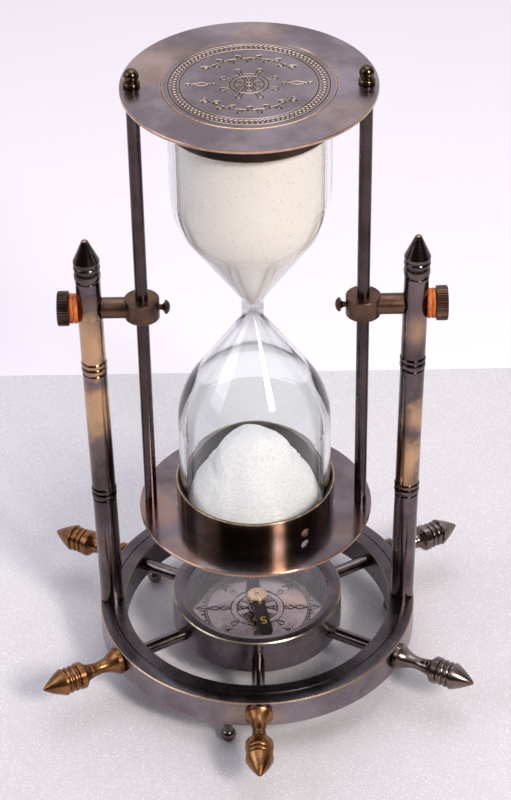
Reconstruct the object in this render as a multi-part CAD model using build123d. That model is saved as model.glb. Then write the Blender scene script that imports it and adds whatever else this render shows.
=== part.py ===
from build123d import *
import math
import os

# Turning hourglass on a ship's-wheel base with a compass under it.
# Millimetres. +Z is up, X runs along the pivot axis, -Y is the front.
# The origin is on the resting surface, under the middle of the wheel.

# --- driving dimensions: base wheel ---------------------------------------
RIM_BOTTOM, RIM_TOP = 16.1, 31.8
RIM_IN, RIM_OUT = 66.6, 79.5
RIM_GROOVE_R, RIM_GROOVE_DEPTH = 73.1, 0.5
RIM_CROWN_DROP = 0.7
SPOKE_ANGLES = [270, 210, 150, 90, 30, 330]
SPOKE_Z = 24.8
SPOKE_R = 3.25
STUD_R = 2.0
SLIP = 0.08
BOWL_STUD_IN = 38.6
HANDLE_TIP_R = 121.7
HANDLE_R, HANDLE_NECK_R, HANDLE_COLLAR = 6.8, 3.7, 2.6
HANDLE_STUD = 10.0
FOOT_ANGLES = [258, 138, 18]
FOOT_PITCH_R = 73.0
FOOT_BALL_R, FOOT_BALL_Z = 3.85, 3.6
FOOT_STUD = 6.0

# --- compass ---------------------------------------------------------------
BOWL_R, BOWL_IN = 42.7, 37.2
BOWL_BOTTOM, BOWL_FLOOR, BOWL_TOP = 17.2, 19.2, 33.0
BEZEL_TOP, BEZEL_IN = 36.7, 36.0
BEZEL_LAND_IN = 39.0
LENS_R, LENS_BOTTOM, LENS_TOP = 38.4, 34.3, 35.7
GASKET_IN = 36.3
DIAL_R, DIAL_BOTTOM, DIAL_TOP = 37.0, 20.8, 22.0
DIAL_LEDGE_IN = 34.0
PIN_R, PIN_SHOULDER_R = 1.1, 2.4
PIN_TIP_Z = 29.6
NEEDLE_Z, NEEDLE_THICK = 28.6, 0.7
NEEDLE_SOUTH_R, NEEDLE_NORTH_R = 32.0, 31.0
NEEDLE_HALF_WIDTH = 3.7
NEEDLE_HEADING = 9.0
CAP_R, CAP_TOP, CAP_DIMPLE = 5.1, 31.4, 0.4
JEWEL_R, JEWEL_TOP = 1.7, 30.3

# --- posts and the pivot they carry ----------------------------------------
POST_R = 5.85
POST_BASE_X, POST_PIVOT_X = 73.4, 75.8
PIVOT_Z = 209.8
FINIAL_Z, FINIAL_TOP = 225.4, 247.5
RING_Z = [97.4, 173.0]
SCREW_R, SCREW_HEAD_R, SCREW_HEAD_H = 2.0, 3.8, 2.4
SCREW_RECESS, SCREW_REACH = 5.0, 12.0
SHAFT_R, SHAFT_PLAY = 3.0, 0.06
POST_FLAT_IN, POST_FLAT_OUT = 70.4, 81.2
COLLAR_X, COLLAR_R, COLLAR_H = 51.5, 8.25, 10.3
BOSS_R, BOSS_END = 5.0, 70.3
SHAFT_IN, SHAFT_OUT = 60.5, 89.6
WASHER_R, WASHER_H = 7.15, 2.0
KNOB_R, KNOB_IN, KNOB_OUT = 8.25, 85.25, 90.8
KNURL_COUNT, KNURL_DEPTH = 44, 0.45
CLAMP_R, CLAMP_HEAD_R = 1.35, 3.35
CLAMP_HEAD_OUT, CLAMP_HEAD_IN = 41.25, 38.4
SLOT_WIDTH, SLOT_DEPTH = 0.9, 1.3

# --- hourglass frame, symmetric about the pivot ------------------------------
PLATE_R, PLATE_T = 57.0, 1.6
FRAME_HALF = 117.8
PLATE_HOLE_R = 38.8
ROD_R, ROD_PLAY = 3.0, 0.06
ROD_STUD_R, ROD_STUD = 2.0, 4.6
NUT_R, NUT_H, NUT_BALL_R = 3.85, 8.3, 3.5
CUP_R, CUP_IN, CUP_DEPTH = 38.7, 37.5, 17.1
CUP_HOLE_R, CUP_HOLE_UP, CUP_HOLE_ANGLE = 2.5, 5.2, -52.0
PAD_R, PAD_T = 37.0, 2.0

# --- glass and sand, heights measured from the neck, 1 the upper bulb and -1 the lower ---
GLASS_R, GLASS_WALL, GLASS_END_T = 36.8, 3.2, 2.4
GLASS_CORNER = 3.0
CONE_LEAN = math.radians(34.5)
NECK_R, NECK_FILLET = 5.3, 3.5
ORIFICE_R, ORIFICE_FILLET = 1.3, 2.0
NECK_TUBE_H = {1: 4.0, -1: 5.1}
ORIFICE_H = {1: 1.3, -1: 2.4}
SHOULDER_ARC = {1: 36.0, -1: 44.0}
SHOULDER_ARC_IN = {1: 42.0, -1: 50.0}
SAND_GAP = 0.15
SAND_TOP_H, SAND_CRATER = 99.5, 22.0
MOUND_H = 35.5
MOUND_SHOULDER_R, MOUND_SHOULDER_H = 18.8, 22.8
MOUND_EDGE_H = 5.5

GLASS_END_H = FRAME_HALF - PLATE_T - PAD_T
CAVITY_END_H = GLASS_END_H - GLASS_END_T
CAVITY_R = GLASS_R - GLASS_WALL


def turned(start, *steps):
    """Solid turned about +Z from an outline of (radius, height) points.

    A step is a point for a straight side, or a list for a curved one: two
    points give an arc through the first, three give a Bezier curve.
    """
    edges = []
    here = start
    for step in steps:
        if isinstance(step, tuple):
            edges.append(Line(here, step))
            here = step
        elif len(step) == 2:
            edges.append(ThreePointArc(here, step[0], step[1]))
            here = step[-1]
        else:
            edges.append(Bezier(here, *step))
            here = step[-1]
    if here != start:
        edges.append(Line(here, start))
    return revolve(Plane.XZ * make_face(edges), Axis.Z)


def peg(radius, bottom, top):
    """Plain cylinder on the Z axis between two heights."""
    return Pos(0, 0, bottom) * Cylinder(radius, top - bottom, align=(Align.CENTER, Align.CENTER, Align.MIN))


def radial(solid, angle, height):
    """Lay a solid made on +Z along the wheel's radius at this angle and height."""
    return Rot(0, 0, angle) * Pos(0, 0, height) * Rot(0, 90, 0) * solid


def on_pivot(solid, side):
    """Lay a solid made on +Z along the pivot axis, to the right (1) or left (-1)."""
    return Pos(0, 0, PIVOT_Z) * Rot(0, 90 * side, 0) * solid


def leaning(solid, side):
    """Stand a solid made on +Z on the rim with its post's slight outward lean."""
    lean = math.degrees(math.atan2(POST_PIVOT_X - POST_BASE_X, PIVOT_Z - RIM_TOP))
    return Pos(side * POST_BASE_X, 0, RIM_TOP) * Rot(0, side * lean, 0) * solid


# --- base wheel ---------------------------------------------------------------
def wheel_rim():
    """Cast ring: flat inner land, turned groove, gently crowned outer land."""
    groove_in = RIM_GROOVE_R - 0.35
    groove_out = RIM_GROOVE_R + 0.35
    crown_mid = ((groove_out + RIM_OUT) / 2, RIM_TOP - RIM_CROWN_DROP * 0.33)
    edge = 0.5
    ring = turned(
        (RIM_IN, RIM_BOTTOM + edge),
        (RIM_IN + edge, RIM_BOTTOM),
        (RIM_OUT - edge, RIM_BOTTOM),
        (RIM_OUT, RIM_BOTTOM + edge),
        (RIM_OUT, RIM_TOP - RIM_CROWN_DROP - 0.3),
        (RIM_OUT - 0.4, RIM_TOP - RIM_CROWN_DROP),
        [crown_mid, (groove_out, RIM_TOP)],
        (RIM_GROOVE_R, RIM_TOP - RIM_GROOVE_DEPTH),
        (groove_in, RIM_TOP),
        (RIM_IN + edge, RIM_TOP),
        (RIM_IN, RIM_TOP - edge),
    )
    for angle in SPOKE_ANGLES:
        ring -= radial(peg(STUD_R + SLIP, RIM_IN - 2, RIM_OUT + 2), angle, SPOKE_Z)
    for angle in FOOT_ANGLES:
        hole = peg(STUD_R + SLIP, RIM_BOTTOM - 1, RIM_BOTTOM + FOOT_STUD + 0.5)
        ring -= Rot(0, 0, angle) * Pos(FOOT_PITCH_R, 0, 0) * hole
    for side in (-1, 1):
        hole = peg(SCREW_R + SLIP, RIM_BOTTOM - 1, RIM_TOP + 1)
        hole += peg(SCREW_HEAD_R + 0.3, RIM_BOTTOM - 1, RIM_BOTTOM + SCREW_RECESS)
        ring -= Pos(side * POST_BASE_X, 0, 0) * hole
    return ring


def spoke(angle):
    """Plain rod with a stud into the bowl and a longer one through the rim."""
    rod = turned(
        (0, BOWL_STUD_IN),
        (STUD_R, BOWL_STUD_IN),
        (STUD_R, BOWL_R + 0.05),
        (SPOKE_R, BOWL_R + 0.05),
        (SPOKE_R, RIM_IN - 0.1),
        (STUD_R, RIM_IN - 0.1),
        (STUD_R, RIM_OUT + HANDLE_STUD),
        (0, RIM_OUT + HANDLE_STUD),
    )
    return radial(rod, angle, SPOKE_Z)


def handle(angle):
    """Turned wheel handle with a blind hole for the spoke's stud."""
    base = RIM_OUT + 0.02
    tip = HANDLE_TIP_R
    groove_r = HANDLE_R - 1.2
    outline = [
        (HANDLE_R - 0.5, base),
        (HANDLE_R, base + 0.6),
        (HANDLE_R, base + HANDLE_COLLAR),
        (HANDLE_R - 0.5, base + HANDLE_COLLAR + 0.5),
        [(HANDLE_NECK_R + 0.2, base + 7.6), (HANDLE_NECK_R, tip - 26.4)],
        [(4.15, tip - 24.2), (HANDLE_R - 0.6, tip - 22.0)],
        (HANDLE_R, tip - 21.2),
        (HANDLE_R, tip - 18.6),
        (groove_r, tip - 18.1),
        (groove_r, tip - 17.5),
    ]
    for bead in (tip - 17.5, tip - 14.6):
        outline += [[(HANDLE_R - 0.25, bead + 1.2), (groove_r, bead + 2.4)], (groove_r, bead + 2.9)]
    outline += [
        (HANDLE_R, tip - 11.1),
        (HANDLE_R, tip - 10.6),
        [(4.15, tip - 5.3), (0.9, tip - 0.5)],
        [(0.7, tip - 0.1), (0.4, tip), (0, tip)],
    ]
    body = turned((0, base), *outline)
    return radial(body - peg(STUD_R + SLIP, base - 1, base + HANDLE_STUD + 0.5), angle, SPOKE_Z)


def foot(angle):
    """Tapered neck on a small ball with a flat, held by a stud in the rim."""
    half_flat = math.sqrt(FOOT_BALL_R**2 - FOOT_BALL_Z**2)
    neck_low_r = 2.4
    neck_low_z = FOOT_BALL_Z + math.sqrt(FOOT_BALL_R**2 - neck_low_r**2)
    body = turned(
        (0, 0),
        (half_flat, 0),
        [(FOOT_BALL_R, FOOT_BALL_Z), (neck_low_r, neck_low_z)],
        [(2.55, 11.5), (3.45, RIM_BOTTOM - 0.6)],
        (3.45, RIM_BOTTOM),
        (STUD_R, RIM_BOTTOM),
        (STUD_R, RIM_BOTTOM + FOOT_STUD),
        (0, RIM_BOTTOM + FOOT_STUD),
    )
    return Rot(0, 0, angle) * Pos(FOOT_PITCH_R, 0, 0) * body


# --- compass ------------------------------------------------------------------
def compass_bowl():
    """Thick-walled bowl that the six spokes screw into, with a ledge for the dial."""
    bowl = turned(
        (0, BOWL_BOTTOM),
        (BOWL_R - 0.6, BOWL_BOTTOM),
        (BOWL_R, BOWL_BOTTOM + 0.6),
        (BOWL_R, BOWL_TOP),
        (BOWL_IN, BOWL_TOP),
        (BOWL_IN, DIAL_BOTTOM),
        (DIAL_LEDGE_IN, DIAL_BOTTOM),
        (DIAL_LEDGE_IN, BOWL_FLOOR),
        (0, BOWL_FLOOR),
    )
    for angle in SPOKE_ANGLES:
        bowl -= radial(peg(STUD_R + SLIP, BOWL_STUD_IN - 0.3, BOWL_R + 2), angle, SPOKE_Z)
    return bowl - peg(PIN_R + SLIP, BOWL_BOTTOM - 1, BOWL_FLOOR + 1)


def compass_bezel():
    """Ring that closes the bowl and holds the glass down on its gasket."""
    return turned(
        (LENS_R + 0.3, BOWL_TOP),
        (BOWL_R, BOWL_TOP),
        (BOWL_R, BEZEL_TOP - 0.5),
        (BOWL_R - 0.5, BEZEL_TOP),
        (BEZEL_LAND_IN, BEZEL_TOP),
        (BEZEL_IN, LENS_TOP + 0.25),
        (BEZEL_IN, LENS_TOP + 0.02),
        (LENS_R + 0.3, LENS_TOP + 0.02),
    )


def compass_lens():
    """Flat glass disc over the compass."""
    edge = 0.3
    return turned(
        (0, LENS_BOTTOM),
        (LENS_R - edge, LENS_BOTTOM),
        (LENS_R, LENS_BOTTOM + edge),
        (LENS_R, LENS_TOP - edge),
        (LENS_R - edge, LENS_TOP),
        (0, LENS_TOP),
    )


def lens_gasket():
    """Rubber ring between the bowl's rim and the glass."""
    return turned(
        (GASKET_IN, BOWL_TOP),
        (LENS_R, BOWL_TOP),
        (LENS_R, LENS_BOTTOM),
        (GASKET_IN, LENS_BOTTOM),
    )


def compass_dial():
    """Dial plate lying on the bowl's ledge, with a hole for the pivot pin."""
    return turned(
        (PIN_R + SLIP, DIAL_BOTTOM),
        (DIAL_R, DIAL_BOTTOM),
        (DIAL_R, DIAL_TOP),
        (PIN_R + SLIP, DIAL_TOP),
    )


def compass_pivot_pin():
    """Pointed pin riveted in the bowl floor, shouldered to hold the dial down."""
    return turned(
        (0, BOWL_BOTTOM),
        (PIN_R, BOWL_BOTTOM),
        (PIN_R, DIAL_TOP),
        (PIN_SHOULDER_R, DIAL_TOP),
        (PIN_SHOULDER_R, DIAL_TOP + 1.2),
        (PIN_R, DIAL_TOP + 2.0),
        (0.8, PIN_TIP_Z - 2.6),
        (0, PIN_TIP_Z),
    )


def compass_needle():
    """Flat needle, wider towards its south end, with a round eye for the cap's spigot."""
    right = [
        (0, -NEEDLE_SOUTH_R),
        (NEEDLE_HALF_WIDTH, -NEEDLE_SOUTH_R + 5.5),
        (NEEDLE_HALF_WIDTH * 0.8, 0),
        (NEEDLE_HALF_WIDTH * 0.65, NEEDLE_NORTH_R - 8.0),
        (0, NEEDLE_NORTH_R),
    ]
    left = [(-x, y) for x, y in reversed(right[1:-1])]
    blade = make_face(Polyline(*right, *left, close=True))
    solid = extrude(blade, NEEDLE_THICK) - Cylinder(JEWEL_R + 0.9, 10)
    return Pos(0, 0, NEEDLE_Z) * Rot(0, 0, NEEDLE_HEADING) * solid


def needle_cap():
    """Brass cap over the needle's eye, bored for the jewel."""
    spigot_r = JEWEL_R + 0.85
    needle_top = NEEDLE_Z + NEEDLE_THICK
    return turned(
        (JEWEL_R + SLIP, NEEDLE_Z),
        (spigot_r, NEEDLE_Z),
        (spigot_r, needle_top),
        (CAP_R, needle_top),
        (CAP_R, CAP_TOP - 0.5),
        [(CAP_R - 0.15, CAP_TOP - 0.15), (CAP_R - 0.5, CAP_TOP)],
        (1.5, CAP_TOP),
        [(1.2, CAP_TOP - CAP_DIMPLE), (0.6, CAP_TOP - CAP_DIMPLE), (0, CAP_TOP - CAP_DIMPLE)],
        (0, JEWEL_TOP + 0.05),
        (JEWEL_R + SLIP, JEWEL_TOP + 0.05),
    )


def needle_jewel():
    """Jewel bearing with a cone that rests over the pin's point."""
    return turned(
        (1.3, NEEDLE_Z),
        (JEWEL_R, NEEDLE_Z),
        (JEWEL_R, JEWEL_TOP),
        (0, JEWEL_TOP),
        (0, PIN_TIP_Z + 0.05),
    )


# --- posts ----------------------------------------------------------------------
def ring_cut(height, gap, depth):
    """Square groove around a post."""
    return turned(
        (POST_R - depth, height),
        (POST_R + 2, height),
        (POST_R + 2, height + gap),
        (POST_R - depth, height + gap),
    )


def ring_bead(height, width):
    """Rounded bead standing a little proud of a post."""
    return turned(
        (POST_R - 1, height),
        (POST_R, height),
        [(POST_R + 0.4, height + width / 2), (POST_R, height + width)],
        (POST_R - 1, height + width),
    )


def post(side):
    """Round post with two turned ring sets, bored across for the pivot shaft."""
    length = FINIAL_Z - RIM_TOP
    body = peg(POST_R, -1, length)
    for ring_z in RING_Z:
        low = ring_z - RIM_TOP
        body -= ring_cut(low, 1.0, 0.8)
        body += ring_bead(low + 1.0, 3.0)
        body -= ring_cut(low + 4.0, 0.7, 0.6)
        body += ring_bead(low + 4.7, 2.4)
        body -= ring_cut(low + 7.1, 0.7, 0.6)
    body -= peg(STUD_R + SLIP, length - 9, length + 1)
    body -= peg(SCREW_R + SLIP, -2, 16)
    body = leaning(body, side)
    body -= Pos(side * POST_BASE_X, 0, RIM_TOP - 5) * Box(40, 40, 10)
    body -= Pos(side * POST_BASE_X, 0, 0) * peg(SCREW_R + SLIP, RIM_TOP - 1, RIM_TOP + 16)
    bore = peg(SHAFT_R + SHAFT_PLAY, POST_BASE_X - 20, POST_BASE_X + 20)
    spot_out = peg(WASHER_R + 0.3, POST_FLAT_OUT, POST_FLAT_OUT + 10)
    spot_in = peg(BOSS_R + 0.4, POST_FLAT_IN - 10, POST_FLAT_IN)
    for cutter in (bore, spot_out, spot_in):
        body -= on_pivot(cutter, side)
    return body


def post_finial(side):
    """Pointed cap with two beads, screwed into the top of a post."""
    start = FINIAL_Z - RIM_TOP
    top = FINIAL_TOP - RIM_TOP
    body = turned(
        (0, start - 8),
        (STUD_R, start - 8),
        (STUD_R, start),
        (5.3, start),
        (5.3, start + 0.5),
        (5.9, start + 0.7),
        [(6.3, start + 2.9), (5.9, start + 5.0)],
        (5.4, start + 5.2),
        (5.4, start + 5.6),
        [(6.3, start + 7.3), (5.4, start + 8.9)],
        (5.4, start + 9.2),
        (6.2, start + 9.4),
        (6.2, start + 11.1),
        (1.5, top - 0.5),
        [(1.2, top - 0.1), (0.7, top), (0, top)],
    )
    return leaning(body, side)


def post_screw(side):
    """Cheese-head screw that comes up through the rim into a post."""
    seat = RIM_BOTTOM + SCREW_RECESS
    low = seat - SCREW_HEAD_H
    screw = turned(
        (0, low),
        (SCREW_HEAD_R, low),
        (SCREW_HEAD_R, seat),
        (SCREW_R, seat),
        (SCREW_R, RIM_TOP + SCREW_REACH),
        (0, RIM_TOP + SCREW_REACH),
    )
    screw -= Pos(0, 0, low) * Box(10, SLOT_WIDTH, SLOT_DEPTH * 2)
    return Pos(side * POST_BASE_X, 0, 0) * screw


# --- pivot hardware ----------------------------------------------------------------
def pivot_collar(side):
    """Collar that a frame rod slides through, with a boss that faces the post."""
    ring = Pos(side * COLLAR_X, 0, PIVOT_Z) * Cylinder(COLLAR_R, COLLAR_H)
    ring = chamfer(ring.edges().filter_by(GeomType.CIRCLE), 0.35)
    ring += on_pivot(peg(BOSS_R, COLLAR_X + 4, BOSS_END), side)
    ring -= Pos(side * COLLAR_X, 0, PIVOT_Z) * Cylinder(ROD_R + ROD_PLAY, COLLAR_H + 2)
    ring -= on_pivot(peg(SHAFT_R + SLIP, SHAFT_IN - 0.4, BOSS_END + 1), side)
    return ring - on_pivot(peg(CLAMP_R + 0.05, CLAMP_HEAD_OUT, COLLAR_X), side)


def pivot_shaft(side):
    """Shaft fixed in the collar's boss, running in the post, threaded for the knob."""
    edge = 0.6
    body = turned(
        (0, SHAFT_IN),
        (SHAFT_R, SHAFT_IN),
        (SHAFT_R, SHAFT_OUT - edge),
        (SHAFT_R - edge, SHAFT_OUT),
        (0, SHAFT_OUT),
    )
    return on_pivot(body, side)


def friction_washer(side, order):
    """Fibre washer squeezed between a post and its knob."""
    low = POST_FLAT_OUT + 0.01 + order * WASHER_H
    edge = 0.45
    body = turned(
        (SHAFT_R + 0.15, low),
        (WASHER_R - edge, low),
        [(WASHER_R, low + WASHER_H / 2), (WASHER_R - edge, low + WASHER_H)],
        (SHAFT_R + 0.15, low + WASHER_H),
    )
    return on_pivot(body, side)


def knob(side):
    """Knurled thumb nut on the end of the shaft."""
    edge = 0.5
    body = turned(
        (0, KNOB_IN),
        (KNOB_R - edge, KNOB_IN),
        (KNOB_R, KNOB_IN + edge),
        (KNOB_R, KNOB_OUT - edge),
        (KNOB_R - edge, KNOB_OUT),
        (0, KNOB_OUT),
    )
    groove = Rot(0, 0, 45) * Box(KNURL_DEPTH * math.sqrt(2), KNURL_DEPTH * math.sqrt(2), 12)
    for turn in range(KNURL_COUNT):
        body -= Rot(0, 0, turn * 360 / KNURL_COUNT) * Pos(KNOB_R, 0, (KNOB_IN + KNOB_OUT) / 2) * groove
    return on_pivot(body - peg(SHAFT_R + SHAFT_PLAY, KNOB_IN - 1, SHAFT_OUT + 0.3), side)


def clamp_screw(side):
    """Slotted thumb screw that pinches the rod inside its collar."""
    waist = CLAMP_HEAD_OUT + 1.2
    body = turned(
        (0, CLAMP_HEAD_IN),
        [(1.9, CLAMP_HEAD_IN + 0.35), (CLAMP_HEAD_R, CLAMP_HEAD_IN + 1.6)],
        (CLAMP_HEAD_R, CLAMP_HEAD_OUT - 0.5),
        (2.2, CLAMP_HEAD_OUT),
        [(1.5, waist - 0.5), (CLAMP_R, waist)],
        (CLAMP_R, COLLAR_X - ROD_R - 0.06),
        (0, COLLAR_X - ROD_R - 0.06),
    )
    body -= Pos(0, 0, CLAMP_HEAD_IN) * Box(10, SLOT_WIDTH, SLOT_DEPTH * 2)
    return on_pivot(body, side)


# --- hourglass frame -----------------------------------------------------------------
def at_end(solid, end):
    """Put a solid made above the neck at the top (1) or turned over at the bottom (-1)."""
    if end < 0:
        solid = Rot(180, 0, 0) * solid
    return Pos(0, 0, PIVOT_Z) * solid


def frame_plate(end):
    """Polished disc with a hole for the glass cup and two holes for the rods."""
    low = FRAME_HALF - PLATE_T
    edge = 0.3
    disc = turned(
        (PLATE_HOLE_R, low),
        (PLATE_R - edge, low),
        (PLATE_R, low + edge),
        (PLATE_R, FRAME_HALF - edge),
        (PLATE_R - edge, FRAME_HALF),
        (PLATE_HOLE_R + edge, FRAME_HALF),
        (PLATE_HOLE_R, FRAME_HALF - edge),
    )
    for side in (-1, 1):
        disc -= Pos(side * COLLAR_X, 0, 0) * peg(ROD_STUD_R + SLIP, low - 1, FRAME_HALF + 1)
    return at_end(disc, end)


def glass_cup(end):
    """Spun cup whose closed end lies flush in the plate and whose wall holds the glass."""
    edge = 0.35
    body = turned(
        (0, FRAME_HALF - PLATE_T),
        (CUP_IN, FRAME_HALF - PLATE_T),
        (CUP_IN, FRAME_HALF - CUP_DEPTH),
        (CUP_R, FRAME_HALF - CUP_DEPTH),
        (CUP_R, FRAME_HALF - edge),
        (CUP_R - edge, FRAME_HALF),
        (0, FRAME_HALF),
    )
    body = at_end(body, end)
    if end < 0:
        hole = peg(CUP_HOLE_R, CUP_IN - 2, CUP_R + 2)
        body -= radial(hole, CUP_HOLE_ANGLE, PIVOT_Z - FRAME_HALF + CUP_HOLE_UP)
    return body


def cup_pad(end):
    """Cork disc between the cup's closed end and the glass."""
    low = FRAME_HALF - PLATE_T - PAD_T
    return at_end(peg(PAD_R, low, low + PAD_T), end)


def frame_rod(side):
    """Rod between the plates, with a thread through each of them."""
    shoulder = FRAME_HALF - PLATE_T
    end = FRAME_HALF + ROD_STUD
    body = turned(
        (0, -end),
        (ROD_STUD_R, -end),
        (ROD_STUD_R, -shoulder),
        (ROD_R, -shoulder),
        (ROD_R, shoulder),
        (ROD_STUD_R, shoulder),
        (ROD_STUD_R, end),
        (0, end),
    )
    return Pos(side * COLLAR_X, 0, PIVOT_Z) * body


def ball_nut(side, end):
    """Turned ball nut with a collar, screwed on a rod's end."""
    low = FRAME_HALF
    ball_z = low + NUT_H - NUT_BALL_R
    neck_r = 2.75
    body = turned(
        (0, low),
        (3.3, low),
        [(NUT_R, low + 1.05), (3.3, low + 2.1)],
        (neck_r, low + 2.3),
        (neck_r, ball_z - math.sqrt(NUT_BALL_R**2 - neck_r**2)),
        [(NUT_BALL_R, ball_z), (0, low + NUT_H)],
    )
    body -= peg(ROD_STUD_R + SLIP, low - 1, low + ROD_STUD + 0.3)
    return at_end(Pos(side * COLLAR_X, 0, 0) * body, end)


# --- glass and sand --------------------------------------------------------------------
def flask_side(neck_r, tube_h, fillet, shoulder_arc, wall_r):
    """Outline steps up a flask: neck tube, fillet, straight cone, shoulder arc to a straight wall."""
    half = CONE_LEAN / 2
    rise, run = math.sin(CONE_LEAN), 1 - math.cos(CONE_LEAN)
    mid_rise, mid_run = math.sin(half), 1 - math.cos(half)
    cone_low_r = neck_r + fillet * run
    cone_low_h = tube_h + fillet * rise
    cone_high_r = wall_r - shoulder_arc * run
    cone_high_h = cone_low_h + (cone_high_r - cone_low_r) / math.tan(CONE_LEAN)
    wall_h = cone_high_h + shoulder_arc * rise
    return [
        (neck_r, tube_h),
        [(neck_r + fillet * mid_run, tube_h + fillet * mid_rise), (cone_low_r, cone_low_h)],
        (cone_high_r, cone_high_h),
        [(wall_r - shoulder_arc * mid_run, wall_h - shoulder_arc * mid_rise), (wall_r, wall_h)],
    ]


def flask(low, side, wall_r, end_h):
    """Solid flask shape from a height near the neck to a flat end with a rounded corner."""
    neck_r = side[0][0]
    bulge = GLASS_CORNER * 0.3
    corner = [(wall_r - bulge, end_h - bulge), (wall_r - GLASS_CORNER, end_h)]
    return turned((0, low), (neck_r, low), *side, (wall_r, end_h - GLASS_CORNER), corner, (0, end_h))


def glass_bulb(end):
    """One blown bulb, closed at its far end, fused to the other at the neck."""
    outer_side = flask_side(NECK_R, NECK_TUBE_H[end], NECK_FILLET, SHOULDER_ARC[end], GLASS_R)
    inner_side = flask_side(ORIFICE_R, ORIFICE_H[end], ORIFICE_FILLET, SHOULDER_ARC_IN[end], CAVITY_R)
    body = flask(0, outer_side, GLASS_R, GLASS_END_H) - flask(-1, inner_side, CAVITY_R, CAVITY_END_H)
    return at_end(body, end)


def sand_upper():
    """Sand waiting above the neck, its top drawn down into a crater by the flow."""
    wall = CAVITY_R - SAND_GAP
    throat = ORIFICE_R - SAND_GAP
    crater_low = SAND_TOP_H - SAND_CRATER
    body = turned(
        (0, ORIFICE_H[1]),
        *flask_side(throat, ORIFICE_H[1], ORIFICE_FILLET, SHOULDER_ARC_IN[1], wall),
        (wall, SAND_TOP_H),
        [(wall * 0.6, SAND_TOP_H - SAND_CRATER * 0.45), (wall * 0.25, crater_low), (0, crater_low)],
    )
    return at_end(body, 1)


def sand_lower():
    """Heap of fallen sand: a cone at its angle of rest that breaks into a steeper skirt."""
    floor = CAVITY_END_H - SAND_GAP
    wall = CAVITY_R - SAND_GAP
    top = floor - MOUND_H
    shoulder = (MOUND_SHOULDER_R, floor - MOUND_SHOULDER_H)
    body = turned(
        (0, floor),
        (wall - GLASS_CORNER, floor),
        (wall, floor - GLASS_CORNER),
        (wall, floor - MOUND_EDGE_H),
        [(25.0, floor - 12.8), shoulder],
        [(MOUND_SHOULDER_R * 0.5, top + 6.2), (MOUND_SHOULDER_R * 0.22, top), (0, top)],
    )
    return at_end(body, -1)


def all_parts():
    """Every piece by node name."""
    parts = {"wheel_rim": wheel_rim()}
    for number, angle in enumerate(SPOKE_ANGLES, 1):
        parts[f"spoke_{number}"] = spoke(angle)
        parts[f"handle_{number}"] = handle(angle)
    for number, angle in enumerate(FOOT_ANGLES, 1):
        parts[f"foot_{number}"] = foot(angle)
    for make in (compass_bowl, compass_bezel, compass_lens, lens_gasket, compass_dial, compass_pivot_pin,
                 compass_needle, needle_cap, needle_jewel, sand_upper, sand_lower):
        parts[make.__name__] = make()
    for side, word in ((-1, "left"), (1, "right")):
        for make in (post, post_finial, post_screw, pivot_collar, pivot_shaft, knob, clamp_screw, frame_rod):
            parts[f"{make.__name__}_{word}"] = make(side)
        for order, place in enumerate(("inner", "outer")):
            parts[f"{place}_washer_{word}"] = friction_washer(side, order)
        for end, place in ((1, "top"), (-1, "bottom")):
            parts[f"{place}_nut_{word}"] = ball_nut(side, end)
    for end, place in ((1, "top"), (-1, "bottom")):
        parts[f"{place}_plate"] = frame_plate(end)
        parts[f"{place}_cup"] = glass_cup(end)
        parts[f"{place}_cup_pad"] = cup_pad(end)
    parts["upper_bulb"] = glass_bulb(1)
    parts["lower_bulb"] = glass_bulb(-1)
    return parts


os.makedirs("parts", exist_ok=True)
for node, solid in all_parts().items():
    export_step(solid, f"parts/{node}.step")
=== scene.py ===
import math

import bmesh
import bpy
import numpy as np
from mathutils import Matrix, Vector, noise


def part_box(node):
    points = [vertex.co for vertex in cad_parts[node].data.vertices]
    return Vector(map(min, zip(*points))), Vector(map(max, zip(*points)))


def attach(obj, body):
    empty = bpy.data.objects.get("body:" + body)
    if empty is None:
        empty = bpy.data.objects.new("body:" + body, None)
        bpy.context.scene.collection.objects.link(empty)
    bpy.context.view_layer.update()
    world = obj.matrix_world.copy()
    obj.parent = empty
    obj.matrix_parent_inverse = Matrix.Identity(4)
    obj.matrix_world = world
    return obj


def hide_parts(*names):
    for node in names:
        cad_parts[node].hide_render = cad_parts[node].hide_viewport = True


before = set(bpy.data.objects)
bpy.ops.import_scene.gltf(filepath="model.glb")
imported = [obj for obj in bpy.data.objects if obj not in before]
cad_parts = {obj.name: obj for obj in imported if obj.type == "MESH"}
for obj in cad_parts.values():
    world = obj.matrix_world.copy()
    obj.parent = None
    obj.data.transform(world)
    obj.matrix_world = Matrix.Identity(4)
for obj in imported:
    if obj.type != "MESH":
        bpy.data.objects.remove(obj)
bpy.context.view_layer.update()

MM = 0.001
TAU = 2 * math.pi

# The photograph's view: the camera looks along +Y and down, with a slight roll.
CAMERA_TARGET = Vector((0.00067, 0.0, 0.1549))
CAMERA_DISTANCE = 1.1956
CAMERA_ELEVATION = math.radians(36.77)
CAMERA_ROLL = math.radians(-0.88)
CAMERA_LENS = 112.4
MAT_REAR_EDGE = 0.235

# Engraved discs: sectors round them, the innermost ring in mm where there is no hole, and a sharp edge.
DISC_SECTORS = 720
AXIS_GAP = 0.001
SHARP_EDGE = math.radians(42)
NEEDLE_HEADING = math.radians(9.0)

RNG = np.random.default_rng(7)


# --- small helpers -------------------------------------------------------------
def tone(code):
    """Linear RGBA from an sRGB hex code."""
    channels = [int(code[i:i + 2], 16) / 255 for i in (0, 2, 4)]
    linear = [c / 12.92 if c <= 0.04045 else ((c + 0.055) / 1.055) ** 2.4 for c in channels]
    return (*linear, 1.0)


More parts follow.
